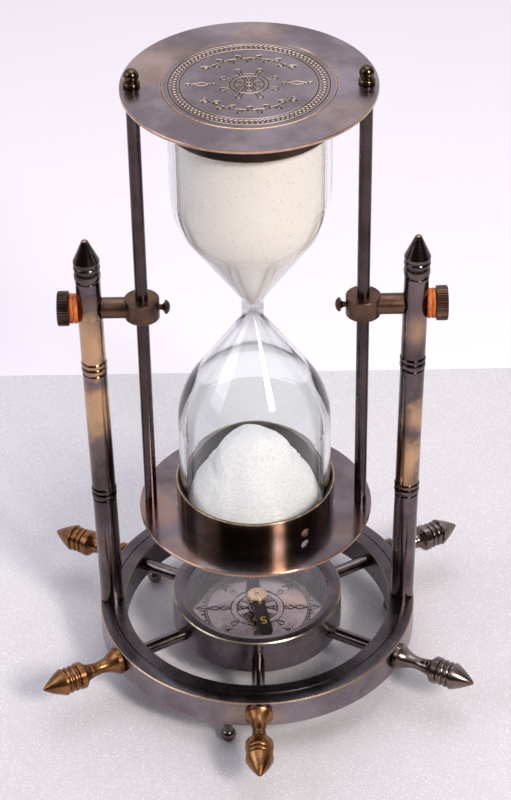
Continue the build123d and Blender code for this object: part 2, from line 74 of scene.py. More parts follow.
def add(tree, kind, settings=None, **sockets):
    """A new node. A socket named i0, i1... is taken by number, others by name with _ for a space."""
    made = tree.nodes.new(kind)
    for key, value in (settings or {}).items():
        setattr(made, key, value)
    for key, value in sockets.items():
        numbered = key[0] == "i" and key[1:].isdigit()
        socket = made.inputs[int(key[1:])] if numbered else made.inputs[key.replace("_", " ")]
        if isinstance(value, bpy.types.NodeSocket):
            tree.links.new(value, socket)
        elif isinstance(value, bpy.types.Node):
            tree.links.new(value.outputs[0], socket)
        else:
            socket.default_value = value
    return made


def maths(tree, operation, *values, clamp=False):
    """A Math node's output; values are numbers or outputs."""
    sockets = {f"i{n}": value for n, value in enumerate(values)}
    settings = {"operation": operation, "use_clamp": clamp}
    return add(tree, "ShaderNodeMath", settings, **sockets).outputs[0]


def ramp(tree, value, low, high, out_low=0.0, out_high=1.0):
    """Value eased from low..high to out_low..out_high."""
    made = add(tree, "ShaderNodeMapRange", {"interpolation_type": "SMOOTHSTEP"}, Value=value,
               From_Min=low, From_Max=high, To_Min=out_low, To_Max=out_high)
    return made.outputs[0]


def blend_colour(tree, factor, first, second):
    """Mix of two colours by a factor."""
    made = add(tree, "ShaderNodeMix", {"data_type": "RGBA"}, i0=factor)
    for index, value in ((6, first), (7, second)):
        if isinstance(value, bpy.types.NodeSocket):
            tree.links.new(value, made.inputs[index])
        else:
            made.inputs[index].default_value = value
    return made.outputs[2]


def dim(tree, colour, level):
    """A colour multiplied by a grey level."""
    grey = add(tree, "ShaderNodeCombineColor", i0=level, i1=level, i2=level)
    settings = {"data_type": "RGBA", "blend_type": "MULTIPLY"}
    return add(tree, "ShaderNodeMix", settings, i0=1.0, i6=colour, i7=grey).outputs[2]


def cloud(tree, vector, scale, detail=4.0, roughness=0.55):
    """Noise value with this scale per metre."""
    made = add(tree, "ShaderNodeTexNoise", Vector=vector, Scale=scale, Detail=detail, Roughness=roughness)
    return made.outputs[0]


def material(name):
    """A new material with its tree, Principled shader and object-space position."""
    made = bpy.data.materials.new(name)
    made.use_nodes = True
    tree = made.node_tree
    shader = tree.nodes["Principled BSDF"]
    place = add(tree, "ShaderNodeTexCoord").outputs["Object"]
    return made, tree, shader, place


def polar(tree, place, centre=(0.0, 0.0)):
    """Distance from a vertical axis, the angle about it in turns, and the height."""
    parts = add(tree, "ShaderNodeSeparateXYZ", Vector=place)
    x = maths(tree, "SUBTRACT", parts.outputs[0], centre[0])
    y = maths(tree, "SUBTRACT", parts.outputs[1], centre[1])
    squares = maths(tree, "ADD", maths(tree, "MULTIPLY", x, x), maths(tree, "MULTIPLY", y, y))
    radius = maths(tree, "SQRT", squares)
    angle = maths(tree, "DIVIDE", maths(tree, "ARCTAN2", y, x), TAU)
    return radius, angle, parts.outputs[2]


def bump(tree, shader, height, distance, strength=1.0):
    """Bump the shader's normal by a height field, distance in metres."""
    made = add(tree, "ShaderNodeBump", Height=height, Distance=distance, Strength=strength)
    tree.links.new(made.outputs[0], shader.inputs["Normal"])
    return made


def paint(names, made):
    """Give CAD nodes one material."""
    for name in names:
        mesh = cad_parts[name].data
        mesh.materials.clear()
        mesh.materials.append(made)


def link(name, mesh):
    """A new object in the scene with this mesh."""
    made = bpy.data.objects.new(name, mesh)
    bpy.context.scene.collection.objects.link(made)
    return made


# --- metals ------------------------------------------------------------------------
TOOL_MARKS = {
    # Frequencies of the marks along the radius, round the axis and along the height.
    "spun": (2600.0, 5.0, 300.0),
    "turned": (300.0, 6.0, 2600.0),
    "drawn": (300.0, 160.0, 26.0),
}


def tool_marks(tree, radius, angle, height, grain):
    """Fine lines: "turned" round a vertical wall, "spun" on a flat face, or "drawn" along the height."""
    per_radius, per_turn, per_height = TOOL_MARKS[grain]
    across = maths(tree, "MULTIPLY", radius, per_radius)
    around = maths(tree, "MULTIPLY", angle, per_turn)
    upward = maths(tree, "MULTIPLY", height, per_height)
    first, last = (across, upward) if grain == "spun" else (upward, across)
    lines = add(tree, "ShaderNodeCombineXYZ", X=first, Y=around, Z=last)
    return cloud(tree, lines, 1.0, 3.0, 0.6)


def near_edge(tree, radius, height, edge):
    """1 on a circular edge (radius, height, reach), easing to 0 at its reach."""
    edge_radius, edge_height, reach = edge
    across = maths(tree, "SUBTRACT", radius, edge_radius)
    along = maths(tree, "SUBTRACT", height, edge_height)
    offset = add(tree, "ShaderNodeCombineXYZ", X=across, Y=along, Z=0.0)
    gap = add(tree, "ShaderNodeVectorMath", {"operation": "LENGTH"}, i0=offset).outputs["Value"]
    return ramp(tree, gap, reach * 0.3, reach, 1.0, 0.0)


def near_patch(tree, place, patch):
    """Strength of a rubbed patch (x, y, z, reach, strength) with a wandering outline."""
    x, y, z, reach, strength = patch
    gap = add(tree, "ShaderNodeVectorMath", {"operation": "DISTANCE"}, i0=place, i1=(x, y, z))
    outline = cloud(tree, place, 120.0, 5.0, 0.6)
    wander = maths(tree, "MULTIPLY_ADD", outline, reach * 1.6, -reach * 0.8)
    inside = maths(tree, "ADD", gap.outputs["Value"], wander)
    return ramp(tree, inside, reach * 0.15, reach, strength, 0.0)


def bronze(name, dark, light, worn, rough=(0.2, 0.34), grain="turned", centre=(0.0, 0.0),
           edges=(), patches=(), mottle=38.0, wear=0.35, streak=0.25, metallic=1.0):
    """Antiqued bronze: two patina tones in clouds, fine tool marks, and bright rubbed edges and patches."""
    made, tree, shader, place = material(name)
    radius, angle, height = polar(tree, place, centre)
    patina = ramp(tree, cloud(tree, place, mottle, 6.0, 0.6), 0.32, 0.68)
    colour = blend_colour(tree, patina, tone(dark), tone(light))
    marks = tool_marks(tree, radius, angle, height, grain)
    specks = cloud(tree, place, 1400.0, 2.0, 0.5)
    rub = ramp(tree, cloud(tree, place, mottle * 2.6, 5.0, 0.7), 0.56, 0.80, 0.0, wear)
    ragged = maths(tree, "MULTIPLY_ADD", cloud(tree, place, 420.0, 4.0, 0.65), 1.6, -0.2)
    for edge in edges:
        worn_edge = maths(tree, "MULTIPLY", near_edge(tree, radius, height, edge), ragged, clamp=True)
        rub = maths(tree, "MAXIMUM", rub, worn_edge)
    for patch in patches:
        rub = maths(tree, "MAXIMUM", rub, near_patch(tree, place, patch))
    colour = blend_colour(tree, rub, colour, tone(worn))
    colour = dim(tree, colour, maths(tree, "MULTIPLY_ADD", marks, streak, 1.0 - streak / 2))
    tree.links.new(colour, shader.inputs["Base Color"])
    smudges = cloud(tree, place, 90.0, 4.0, 0.6)
    smear = maths(tree, "MULTIPLY_ADD", smudges, 0.6, maths(tree, "MULTIPLY", marks, 0.4))
    tree.links.new(ramp(tree, smear, 0.25, 0.75, *rough), shader.inputs["Roughness"])
    shader.inputs["Metallic"].default_value = metallic
    relief = maths(tree, "MULTIPLY_ADD", marks, 0.7, maths(tree, "MULTIPLY", specks, 0.3))
    bump(tree, shader, relief, 0.00002, 0.5)
    return made


def cut_marks(made, groove, lit):
    """Darken an engraved surface where its "cut" attribute is deep, and paint a highlight along the lips of
    the cuts.
    """
    tree = made.node_tree
    shader = tree.nodes["Principled BSDF"]
    metal = shader.inputs["Base Color"].links[0].from_socket
    depth = add(tree, "ShaderNodeAttribute", {"attribute_name": "cut"}).outputs["Fac"]
    # Painted highlight: the lit tone along the lips of the cuts, where light catches the groove edges.
    lip = maths(tree, "MULTIPLY", ramp(tree, depth, 0.02, 0.25), ramp(tree, depth, 0.3, 0.6, 1.0, 0.0))
    colour = blend_colour(tree, maths(tree, "MULTIPLY", lip, 0.85), metal, tone(lit))
    colour = blend_colour(tree, ramp(tree, depth, 0.35, 0.75, 0.0, 0.92), colour, tone(groove))
    tree.links.new(colour, shader.inputs["Base Color"])
    return made


def paint_inner_shade(made, reach, share):
    """Painted shade: multiply the colour by a share wherever the radius is less than a reach."""
    tree = made.node_tree
    shader = tree.nodes["Principled BSDF"]
    metal = shader.inputs["Base Color"].links[0].from_socket
    place = add(tree, "ShaderNodeTexCoord").outputs["Object"]
    radius = polar(tree, place)[0]
    level = ramp(tree, radius, reach - 0.0006, reach, share, 1.0)
    tree.links.new(dim(tree, metal, level), shader.inputs["Base Color"])
    return made


SIDES = ("left", "right")


def paint_plates():
    """The two round plates and the lower cup."""
    low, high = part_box("bottom_plate")[1].z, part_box("top_plate")[1].z
    plate_r, cup_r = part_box("top_plate")[1].x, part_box("bottom_cup")[1].x
    upper_patches = [(-0.045, 0.018, high, 0.030, 0.28), (0.044, -0.030, high, 0.022, 0.18),
                     (0.004, 0.048, high, 0.016, 0.25)]
    paint(["top_plate"], bronze(
        "plate_bronze", "7c7076", "a2969e", "d9b08a", rough=(0.14, 0.28), grain="spun",
        edges=[(plate_r, high - 0.0008, 0.0012), (cup_r, high, 0.0007)],
        patches=upper_patches, wear=0.06, streak=0.08))
    lower_patches = [(-0.050, -0.006, low, 0.022, 0.4), (-0.034, -0.044, low, 0.022, 0.3),
                     (0.050, -0.026, low, 0.018, 0.2), (0.010, -0.055, low, 0.018, 0.35)]
    paint(["bottom_plate"], bronze(
        "plate_bronze_lower", "6e6265", "8f8389", "bd9070", rough=(0.10, 0.22), grain="spun",
        edges=[(plate_r, low - 0.0008, 0.0013)], patches=lower_patches, wear=0.10, streak=0.08))
    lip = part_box("bottom_cup")[1].z
    paint(["bottom_cup"], bronze(
        "cup_bronze", "372e29", "54493f", "e0c8a4", rough=(0.13, 0.21), grain="drawn",
        edges=[(cup_r, lip, 0.0008)], wear=0.06, streak=0.35))


def paint_wheel():
    """Wheel rim, spokes, feet, handles and the compass case."""
    low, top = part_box("wheel_rim")
    land_r = 0.0666
    wheel = bronze(
        "wheel_bronze", "70676b", "938a90", "c9a683", rough=(0.18, 0.34), grain="spun",
        edges=[(top.x, top.z - 0.0008, 0.0010), (land_r, top.z, 0.0008), (top.x, low.z, 0.0010)],
        patches=[(0.006, -0.079, 0.021, 0.009, 0.35), (-0.010, -0.079, 0.025, 0.010, 0.25)],
        wear=0.10, streak=0.16)
    # Painted shade: the rim's top and inner wall are darker than its outer wall.
    paint(["wheel_rim"], paint_inner_shade(wheel, top.x - 0.0002, 0.42))
    bezel_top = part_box("compass_bezel")[1]
    paint(["compass_bowl", "compass_bezel"], bronze(
        "compass_bronze", "5d5559", "80777c", "cdbb98",
        edges=[(bezel_top.x, bezel_top.z, 0.0009)], wear=0.06))
    spokes = [f"spoke_{n}" for n in range(1, 7)]
    feet = [f"foot_{n}" for n in range(1, 4)]
    paint(spokes + feet, bronze(
        "dark_bronze", "5a4f4e", "7f7371", "b39a82", rough=(0.12, 0.26), wear=0.15))
    paint([f"handle_{n}" for n in (1, 2, 3)], bronze(
        "copper_handle", "70492f", "9c714a", "d3a672", rough=(0.20, 0.36), mottle=120.0, wear=0.4))
    paint([f"handle_{n}" for n in (4, 5, 6)], bronze(
        "bronze_handle", "5e524c", "857873", "a88669", rough=(0.14, 0.26), mottle=120.0, wear=0.2))


def paint_posts():
    """Posts with their rubbed places, pointed caps and screws."""
    rubbed = {
        "left": [(-0.003, -0.007, 0.190, 0.028, 1.0), (0.002, -0.007, 0.152, 0.024, 1.0)],
        "right": [(-0.002, -0.007, 0.121, 0.021, 1.0), (0.005, -0.007, 0.146, 0.014, 0.9),
                  (0.003, -0.007, 0.196, 0.013, 0.5)],
    }
    post_x, cap_x, cap_z = 0.0745, 0.0762, 0.2475
    for sign, side in zip((-1, 1), SIDES):
        x = sign * post_x
        patches = [(x + across, *rest) for across, *rest in rubbed[side]]
        paint([f"post_{side}"], bronze(
            f"post_bronze_{side}", "4c4343", "736668", "c9a27e", rough=(0.12, 0.24), grain="drawn",
            centre=(x, 0.0), patches=patches, mottle=60.0, wear=0.16, streak=0.4))
    paint([f"post_finial_{side}" for side in SIDES], bronze(
        "finial_bronze", "463d3c", "6a6160", "b59572", rough=(0.1, 0.22), wear=0.2,
        patches=[(sign * cap_x, 0.0, cap_z, 0.003, 0.6) for sign in (-1, 1)]))
    paint([f"post_screw_{side}" for side in SIDES] + ["compass_pivot_pin"], bronze(
        "screw_steel", "6c6a68", "94918e", "bdbab5", rough=(0.2, 0.4), wear=0.3))


def paint_frame_hardware():
    """Frame rods, pivots, knobs, clamp screws and ball nuts."""
    paint([f"frame_rod_{side}" for side in SIDES], bronze(
        "rod_bronze", "3f3536", "564a4b", "80624a", rough=(0.2, 0.32), grain="drawn", wear=0.16))
    turned = [f"{piece}_{side}" for side in SIDES
              for piece in ("pivot_collar", "pivot_shaft", "knob", "clamp_screw")]
    paint(turned, bronze(
        "hardware_bronze", "4a3932", "6b5345", "9a6a48", rough=(0.24, 0.4), mottle=90.0, wear=0.3))
    paint([f"{end}_nut_{side}" for end in ("top", "bottom") for side in SIDES], bronze(
        "nut_bronze", "3f332a", "655340", "a58556", rough=(0.12, 0.24), wear=0.25, mottle=110.0))


def paint_needle():
    """Brass cap and blackened needle."""
    paint(["needle_cap"], bronze(
        "cap_brass", "bd9a78", "dcc29c", "f0dcb4", rough=(0.10, 0.22), mottle=160.0, wear=0.3))
    paint(["compass_needle"], bronze(
        "needle_black", "0d0b0a", "171311", "3a2c20", rough=(0.3, 0.45), wear=0.10, metallic=0.4))


# --- engraved faces and lettering ------------------------------------------------------
def segment_gap(points, start, end):
    """Distance of each point from a straight segment."""
    start, end = np.asarray(start, float), np.asarray(end, float)
    line = end - start
    along = np.clip(((points - start) @ line) / max(line @ line, 1e-12), 0, 1)
    return np.linalg.norm(points - start - along[:, None] * line, axis=1)


def cut_field(points, circles, lines, half_width):
    """Groove depth from 0 to 1 at each point for circles (x, y, radius) and polylines."""
    gap = np.full(len(points), 1e3)
    for x, y, radius in circles:
        gap = np.minimum(gap, np.abs(np.hypot(points[:, 0] - x, points[:, 1] - y) - radius))
    for line in lines:
        for start, end in zip(line[:-1], line[1:]):
            gap = np.minimum(gap, segment_gap(points, start, end))
    return np.clip(1.35 - gap / half_width, 0, 1)


def spun(angle, points):
    """Points turned about the origin, the angle in degrees."""
    c, s = math.cos(math.radians(angle)), math.sin(math.radians(angle))
    return [(x * c - y * s, x * s + y * c) for x, y in points]


def arc(radius, first, last, steps=14, centre=(0.0, 0.0)):
    """Points along an arc, angles in degrees."""
    turns = [math.radians(angle) for angle in np.linspace(first, last, steps)]
    return [(centre[0] + radius * math.cos(a), centre[1] + radius * math.sin(a)) for a in turns]


def wheel_pattern(ring_in, ring_out, knob_r, hub, arms, start):
    """Circles and lines of a steering wheel with a knobbed arm at each division."""
    circles = [(0, 0, ring_in), (0, 0, ring_out), (0, 0, hub)]
    lines = []
    for n in range(arms):
        angle = start + n * 360 / arms
        lines += [spun(angle, [(hub, w), (ring_in, w)]) for w in (-0.55, 0.55)]
        lines += [spun(angle, [(ring_out, w), (knob_r - 1.2, w)]) for w in (-0.7, 0.7)]
        lines.append(spun(angle, arc(1.35, -150, 150, centre=(knob_r, 0.0))))
    return circles, lines


def engraved_disc(name, rings, field, outline, depth):
    """Disc whose top is cut by a 0..1 field of (x, y) in mm.

    outline gives the (radius, height) rings after the top, and first of all the top's height.
    """
    angles = np.linspace(0, TAU, DISC_SECTORS, endpoint=False)
    grid_r, grid_a = np.meshgrid(rings, angles, indexing="ij")
    flat = np.stack([grid_r * np.cos(grid_a), grid_r * np.sin(grid_a)], -1).reshape(-1, 2)
    cut = field(flat)
    top = outline[0][1]
    points = [np.column_stack([flat, top - depth * cut])]
    values = [cut]
    for radius, height in outline[1:]:
        level = np.full(DISC_SECTORS, height)
        points.append(np.column_stack([radius * np.cos(angles), radius * np.sin(angles), level]))
        values.append(np.zeros(DISC_SECTORS))
    points, values = np.concatenate(points) * MM, np.concatenate(values)
    first = np.arange(DISC_SECTORS)
    after = (first + 1) % DISC_SECTORS

    def band(one, two):
        """Faces between two rings of points, counted from the innermost."""
        one, two = one * DISC_SECTORS, two * DISC_SECTORS
        return np.column_stack([one + first, two + first, two + after, one + after])

    rows = len(rings) + len(outline) - 1
    bands = [band(row, row + 1) for row in range(rows - 1)]
    if outline[-1][0] > AXIS_GAP:
        bands.append(band(rows - 1, 0))
    mesh = bpy.data.meshes.new(name)
    mesh.from_pydata(points.tolist(), [], np.concatenate(bands).tolist())
    mesh.attributes.new("cut", "FLOAT", "POINT").data.foreach_set("value", values.astype(np.float32))
    mesh.shade_smooth()
    made = link(name, mesh)
    sharp = made.modifiers.new("edges", "EDGE_SPLIT")
    sharp.split_angle = SHARP_EDGE
    return made


def garlands():
    """Two garlands of veined leaves on a stem, with a lozenge and two rings at each gap between them."""
    leaf = [(0, -1.9), (1.0, -0.9), (1.15, 0.3), (0, 2.0), (-1.15, 0.3), (-1.0, -0.9), (0, -1.9)]
    vein = [(0, -1.5), (0, 1.3)]
    lozenge = [(17.0, 0), (21.0, 1.6), (25.0, 0), (21.0, -1.6), (17.0, 0)]
    inner_row, stem_r, outer_row = 21.4, 22.8, 24.2
    lines = []
    for centre in (90, 270):
        for step in range(-5, 6):
            lean = 24 if step > 0 else -24
            row = outer_row if step % 2 else inner_row
            for shape in (leaf, vein):
                placed = [(x + row, y) for x, y in spun(-90 + lean, shape)]
                lines.append(spun(centre + step * 10.5, placed))
        lines.append(arc(stem_r, centre - 58, centre + 58, 40))
    for side in (0, 180):
        lines.append(spun(side, lozenge))
        lines += [spun(side, arc(0.8, 0, 360, centre=(x, 0.0))) for x in (15.4, 26.8)]
    return lines


def rope_field(points):
    """Groove depth of a border of two twisted strands."""
    middle, swing, twists, half_width = 33.1, 1.25, 46, 0.36
    radius = np.hypot(points[:, 0], points[:, 1])
    angle = np.arctan2(points[:, 1], points[:, 0])
    cut = np.zeros(len(points))
    for phase in (0.0, math.pi):
        strand = middle + swing * np.sin(twists * angle + phase)
        slope = np.hypot(1.0, swing * twists * np.cos(twists * angle + phase) / middle)
        cut = np.maximum(cut, np.clip(1.3 - np.abs(radius - strand) / slope / half_width, 0, 1))
    return cut


def top_cup_face():
    """Top cup with its engraved medallion: rope border, garlands of leaves and a steering wheel."""
    low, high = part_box("top_cup")
    radius, top, lip = high.x / MM, high.z / MM, low.z / MM
    groove_half_width, groove_depth = 0.34, 0.30
    wall, thickness = 1.2, 1.6
    circles, lines = wheel_pattern(6.6, 8.6, 12.4, 2.3, 8, 22.5)
    circles += [(0, 0, 1.0), (0, 0, 35.6), (0, 0, 30.6)]
    lines += garlands()

    def field(points):
        return np.maximum(cut_field(points, circles, lines, groove_half_width), rope_field(points))

    rings = np.concatenate([[AXIS_GAP], np.linspace(0.3, radius - 0.36, 236)])
    outline = [(0, top), (radius - 0.1, top - 0.12), (radius, top - 0.4), (radius, lip),
               (radius - wall, lip), (radius - wall, top - thickness), (AXIS_GAP, top - thickness)]
    made = engraved_disc("top_cup_engraved", rings, field, outline, groove_depth)
    metal = bronze("medallion_bronze", "776c72", "978b93", "cfae88", rough=(0.16, 0.28), grain="spun",
                   edges=[(high.x, high.z, 0.0009), (high.x, low.z, 0.0009)], wear=0.08, streak=0.08)
    # Dark grooves with a painted highlight along their lips.
    made.data.materials.append(cut_marks(metal, "2a221f", "cdb08c"))
    made.data.materials.append(bronze(
        "cup_side_bronze", "2a221e", "463b35", "b89a76", rough=(0.16, 0.28), grain="drawn",
        edges=[(high.x, low.z, 0.0005)], wear=0.08, streak=0.35))
    top_faces = (len(rings) + 1) * DISC_SECTORS
    for face in made.data.polygons[top_faces:]:
        face.material_index = 1
    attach(made, "hourglass")
    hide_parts("top_cup")


def dial_pattern():
    """Circles and lines of the dial: wheel rose, four arrows, chevrons between them and a degree ring."""
    circles, lines = wheel_pattern(10.3, 13.5, 17.0, 4.2, 8, 0.0)
    arrow = [(18.6, 0), (21.4, 1.5), (25.6, 0), (21.4, -1.5), (18.6, 0)]
    ring_in, ring_out = 26.0, 27.0
    tick_short, tick_long = 28.0, 28.8
    circles += [(0, 0, ring_in), (0, 0, ring_out)]
    for n in range(8):
        lines.append(spun(n * 45, [(10.3, -2.2), (4.6, 0), (10.3, 2.2)]))
    for angle in (0, 90, 180, 270):
        lines.append(spun(angle, arrow))
        lines.append(spun(angle, [(25.6, 0), (31.5, 0)]))
        lines += [spun(angle, [(28.2, w), (31.0, w * 0.2)]) for w in (-1.7, 1.7)]
        lines += [spun(angle + 45, [(ends, -2.2), (tip, 0), (ends, 2.2)])
                  for ends, tip in ((20.5, 23.5), (22.6, 25.4))]
    for n in range(72):
        if n % 18:
            lines.append(spun(n * 5, [(ring_out, 0), (tick_short if n % 2 else tick_long, 0)]))
    return circles, lines


def dial_face():
    """Compass dial with its engraved pattern, open at the pin."""
    low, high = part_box("compass_dial")
    radius, top, base = high.x / MM, high.z / MM, low.z / MM
    hole = 1.18
    groove_half_width, groove_depth = 0.27, 0.22
    circles, lines = dial_pattern()

    def field(points):
        return cut_field(points, circles, lines, groove_half_width)

    rings = np.concatenate([np.linspace(hole, radius - 0.3, 230), [radius]])
    outline = [(0, top), (radius, base), (hole, base)]
    made = engraved_disc("dial_engraved", rings, field, outline, groove_depth)
    metal = bronze("dial_bronze", "8d8186", "b1a5a9", "d6b396", rough=(0.14, 0.26), grain="spun",
                   patches=[(0.018, 0.004, high.z, 0.012, 0.4)], wear=0.08, streak=0.08)
    # Dark grooves with a painted highlight along their lips.
    made.data.materials.append(cut_marks(metal, "1d1715", "d8c3a0"))
    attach(made, "base")
    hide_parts("compass_dial")


def ribbon(name, strokes, width, low, high, centre, metal):
    """Raised lettering: flat strips along polylines in mm, turned with the needle."""
    shape = bmesh.new()
    for stroke in strokes:
        path = [Vector((x + centre[0], y + centre[1], 0)) for x, y in stroke]
        sides = []
        for n, here in enumerate(path):
            ahead = path[min(n + 1, len(path) - 1)] - path[max(n - 1, 0)]
            across = Vector((-ahead.y, ahead.x, 0)).normalized() * width / 2
            sides.append([shape.verts.new((here + across * side + Vector((0, 0, z))) * MM)
                          for side, z in ((-1, low), (-0.8, high), (0.8, high), (1, low))])
        for one, two in zip(sides[:-1], sides[1:]):
            for k in range(4):
                shape.faces.new((one[k], two[k], two[(k + 1) % 4], one[(k + 1) % 4]))
        shape.faces.new(sides[0])
        shape.faces.new(list(reversed(sides[-1])))
    heading = Matrix.Rotation(NEEDLE_HEADING, 3, "Z")
    bmesh.ops.rotate(shape, verts=shape.verts, cent=(0, 0, 0), matrix=heading)
    bmesh.ops.recalc_face_normals(shape, faces=shape.faces)
    mesh = bpy.data.meshes.new(name)
    shape.to_mesh(mesh)
    shape.free()
    mesh.materials.append(metal)
    made = link(name, mesh)
    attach(made, "needle")


def needle_letters():
    """Gold N and S on the ends of the needle."""
    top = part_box("compass_needle")[1].z / MM
    low, high = top - 0.02, top + 0.06
    gold = bronze("letter_gold", "b98a3e", "e2bb6c", "f2d894", rough=(0.3, 0.45), mottle=300.0, wear=0.4)
    upper = arc(1.15, 20, 270, 12, centre=(0.0, 1.15))
    under = arc(1.15, 90, -160, 12, centre=(0.0, -1.15))
    zigzag = [(-1.0, -1.6), (-1.0, 1.6), (1.0, -1.6), (1.0, 1.6)]
    ribbon("needle_letter_s", [upper + under[1:]], 0.75, low, high, (0.3, -18.0), gold)
    ribbon("needle_letter_n", [zigzag], 0.6, low, high, (0.0, 16.0), gold)


# --- glass, rubber, cork and sand ---------------------------------------------------
def clear_glass(name, tint, neck=None, let_through=0.9):
    """Refracting glass that lets the lamps' light through; at a drawn-down neck it is thin and plain."""
    made, tree, shader, place = material(name)
    shader.inputs["Base Color"].default_value = tint
    shader.inputs["Transmission Weight"].default_value = 1.0
    shader.inputs["IOR"].default_value = 1.48
    shader.inputs["Roughness"].default_value = 0.0
    bump(tree, shader, cloud(tree, place, 60.0, 2.0, 0.5), 0.00004, 0.35)
    passed = (let_through, let_through, let_through * 1.01, 1.0)
    through = add(tree, "ShaderNodeBsdfTransparent", Color=passed)
    path = add(tree, "ShaderNodeLightPath")
    lamp_ray = maths(tree, "MAXIMUM", path.outputs["Is Shadow Ray"], path.outputs["Is Diffuse Ray"])
    if neck is not None:
        height = add(tree, "ShaderNodeSeparateXYZ", Vector=place).outputs[2]
        away = maths(tree, "ABSOLUTE", maths(tree, "SUBTRACT", height, neck))
        lamp_ray = maths(tree, "MAXIMUM", lamp_ray, ramp(tree, away, 0.004, 0.012, 0.8, 0.0))
    mixed = add(tree, "ShaderNodeMixShader", i0=lamp_ray, i1=shader.outputs[0], i2=through)
    tree.links.new(mixed.outputs[0], tree.nodes["Material Output"].inputs["Surface"])
    return made


def plain_surface(name, dark, light, scale, rough, relief=0.00003):
    """Non-metal with clouded colour and a fine relief."""
    made, tree, shader, place = material(name)
    clouds = cloud(tree, place, scale, 5.0, 0.6)
    colour = blend_colour(tree, ramp(tree, clouds, 0.3, 0.7), tone(dark), tone(light))
    tree.links.new(colour, shader.inputs["Base Color"])
    tree.links.new(ramp(tree, clouds, 0.3, 0.7, *rough), shader.inputs["Roughness"])
    bump(tree, shader, cloud(tree, place, scale * 6, 3.0, 0.6), relief, 0.8)
    return made


def sand(name, dark, light, speck, peppered=0.0):
    """Fine sand: grain-sized colour changes, scattered dark grains and a grain-deep relief."""
    made, tree, shader, place = material(name)
    grains = add(tree, "ShaderNodeTexVoronoi", Vector=place, Scale=2300.0)
    shade = add(tree, "ShaderNodeSeparateColor", Color=grains.outputs["Color"])
    drift = maths(tree, "MULTIPLY_ADD", cloud(tree, place, 45.0), 0.7,
                  maths(tree, "MULTIPLY", shade.outputs[0], 0.3))
    body = blend_colour(tree, drift, tone(dark), tone(light))
    rare = maths(tree, "MULTIPLY", ramp(tree, shade.outputs[1], 0.985 - peppered, 0.995), 1.0 - peppered)
    large = add(tree, "ShaderNodeTexVoronoi", Vector=place, Scale=190.0)
    chance = add(tree, "ShaderNodeSeparateColor", Color=large.outputs["Color"]).outputs[0]
    spot = maths(tree, "MULTIPLY", ramp(tree, large.outputs["Distance"], 0.03, 0.07, 1.0, 0.0),
                 ramp(tree, chance, 0.72, 0.76))
    dark_grains = maths(tree, "MAXIMUM", maths(tree, "MULTIPLY", rare, 0.55),
                        maths(tree, "MULTIPLY", spot, 0.75))
    body = blend_colour(tree, dark_grains, body, tone(speck))
    tree.links.new(body, shader.inputs["Base Color"])
    shader.inputs["Roughness"].default_value = 0.85
    relief = maths(tree, "MULTIPLY_ADD", grains.outputs["Distance"], -1.0, 1.0)
    bump(tree, shader, relief, 0.00018, 0.8)
    return made


def paint_others():
    """Materials of the glass, rubber, fibre, cork and sand CAD nodes."""
    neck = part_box("upper_bulb")[0].z
    paint(["upper_bulb", "lower_bulb"], clear_glass("bulb_glass", (0.97, 0.995, 0.985, 1.0), neck=neck))
    paint(["compass_lens"], clear_glass("lens_glass", (0.99, 0.985, 0.985, 1.0)))
    paint(["needle_jewel"], plain_surface("jewel", "5a1220", "8c2438", 300.0, (0.1, 0.2)))
    paint(["lens_gasket"], plain_surface("gasket_rubber", "141414", "222120", 200.0, (0.5, 0.7)))
    cork = plain_surface("cork", "6e4a2c", "a87c4f", 420.0, (0.7, 0.9), 0.0002)
    paint(["top_cup_pad", "bottom_cup_pad"], cork)
    fibre = plain_surface("fibre_washer", "8e3f0e", "d27028", 260.0, (0.35, 0.55), 0.00006)
    paint([f"{place}_washer_{side}" for place in ("inner", "outer") for side in SIDES], fibre)
    paint(["sand_upper", "sand_lower"], sand("sand_waiting", "f0e6dc", "fdf6ee", "6b6355"))


# --- sand heap ---------------------------------------------------------------------------
# The heap's outline is drawn for a foot of this radius in mm, then stretched to the foot's real reach.
HEAP_FOOT = 32.0


def heap_height(radius, front):
    """Height of the heap over its foot in mm at a distance from its peak.

    The shoulders broke away at the back and sides (front 0); the front still runs down evenly (front 1).
    """
    broken = np.interp(radius, [0, 4, 9, 13, 16.5, 18.5, 19.8, 22, 26, 29, 31, HEAP_FOOT],
                       [33.4, 32.8, 30.6, 28.6, 26.2, 23.4, 20.2, 17.6, 12.4, 8.6, 3.6, 0])
    even = np.interp(radius, [0, 4, 9, 16, 22, 27, 30.5, HEAP_FOOT],
                     [33.4, 32.6, 28.8, 21.6, 14.6, 8.2, 3.0, 0])
    return broken * (1 - front) + even * front


